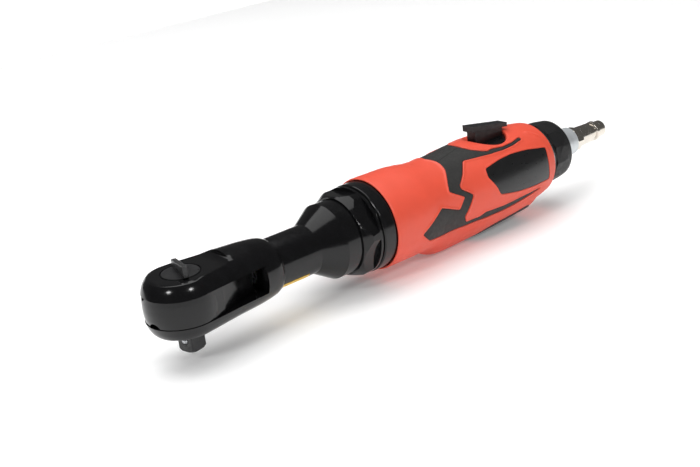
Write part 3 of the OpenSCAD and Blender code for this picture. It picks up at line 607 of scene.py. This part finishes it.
for subpart in frame["record"]["subparts"]:
    node = NODES[subpart["node"]]
    chosen = FINISHES[subpart["material_slot"]]
    if not node.material_slots:
        node.data.materials.append(chosen)
    for holder in node.material_slots:
        holder.material = chosen

# ---------- pieces ----------

grip_shell(FINISHES["red_plastic"])
inserts(FINISHES["grip_rubber"])
nameplates(FINISHES["nameplate"])
belly_pad(FINISHES["grip_rubber"])
EDGES = {"head_housing": 0.35, "yoke": 0.25, "anvil": 0.25, "reverse_knob": 0.3, "clamp_nut": 0.35,
         "motor_housing": 0.3, "trigger": 0.5, "exhaust_deflector": 0.35, "inlet_bushing": 0.25,
         "air_plug": 0.2, "deflector_ring": 0.15, "anvil_retaining_ring": 0.08}
slots = {s["node"]: s["material_slot"] for s in frame["record"]["subparts"]}
for name, width in EDGES.items():
    crisp(name, FINISHES[slots[name]], width)


# ---------- camera, floor and lights ----------

def camera():
    """Looks along the tool from the front and above, rolled slightly."""
    azimuth, elevation, roll = (math.radians(a) for a in (-38.76, 20.96, -6.52))
    back = Vector((math.sin(azimuth) * math.cos(elevation), -math.cos(azimuth) * math.cos(elevation),
                   math.sin(elevation)))
    right = Vector((math.cos(azimuth), math.sin(azimuth), 0))
    up = back.cross(right)
    turned_right = math.cos(roll) * right + math.sin(roll) * up
    turned_up = math.cos(roll) * up - math.sin(roll) * right
    data = bpy.data.cameras.new("camera")
    data.lens = 61.82
    data.sensor_width = 36
    data.clip_start = 0.01
    obj = bpy.data.objects.new("camera", data)
    obj.matrix_world = Matrix((turned_right, turned_up, back)).transposed().to_4x4()
    obj.location = (-0.2618, -0.4544, 0.2359)
    bpy.context.scene.collection.objects.link(obj)
    bpy.context.scene.camera = obj


def area_light(name, place, aim, size, power, shape="SQUARE", reflected=True):
    data = bpy.data.lights.new(name, "AREA")
    data.shape = shape
    data.size = size
    data.energy = power
    obj = bpy.data.objects.new(name, data)
    obj.location = place
    obj.visible_glossy = reflected
    obj.rotation_euler = (Vector(aim) - Vector(place)).to_track_quat("-Z", "Y").to_euler()
    bpy.context.scene.collection.objects.link(obj)


def stage_mesh(name, bm, finish):
    mesh = bpy.data.meshes.new(name)
    bm.to_mesh(mesh)
    bm.free()
    mesh.materials.append(finish)
    obj = bpy.data.objects.new(name, mesh)
    bpy.context.scene.collection.objects.link(obj)
    obj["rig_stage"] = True
    return obj


def paper(name, glow):
    finish = finish_of(name, (0.92, 0.92, 0.92), 0.9, mottle=0.003, mottle_size=80, rough_spread=0.02)
    shader = finish.node_tree.nodes["Principled BSDF"]
    shader.inputs["Emission Color"].default_value = (1, 1, 1, 1)
    shader.inputs["Emission Strength"].default_value = glow
    return finish


def floor():
    """A pale sheet under the tool, and a white surround behind it that adds no light."""
    bm = bmesh.new()
    bmesh.ops.create_grid(bm, x_segments=4, y_segments=4, size=0.75)
    sheet = stage_mesh("floor", bm, paper("floor_paper", 0.15))
    sheet.location = (0.15, 0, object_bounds()[0].z - 0.0002)
    bm = bmesh.new()
    bmesh.ops.create_icosphere(bm, subdivisions=4, radius=4.0)
    surround = stage_mesh("surround", bm, paper("surround_paper", 1.0))
    surround.visible_diffuse = False
    surround.visible_glossy = False
    surround.visible_transmission = False
    surround.visible_shadow = False


def studio():
    world = bpy.data.worlds.new("studio")
    world.use_nodes = True
    world.node_tree.nodes["Background"].inputs["Color"].default_value = (1, 1, 1, 1)
    world.node_tree.nodes["Background"].inputs["Strength"].default_value = 0.1
    bpy.context.scene.world = world
    middle = (0.15, 0, 0)
    area_light("overhead", (0.15, 0.25, 1.0), middle, 1.0, 6)
    area_light("overhead_fill", (0.15, 0.1, 1.2), middle, 2.0, 16, reflected=False)
    area_light("left", (-0.85, -0.3, 0.75), middle, 0.2, 3, "DISK")
    area_light("front", (0.14, -0.95, 0.75), middle, 0.2, 3, "DISK")
    bpy.context.scene.view_settings.view_transform = "Standard"


camera()
floor()
studio()
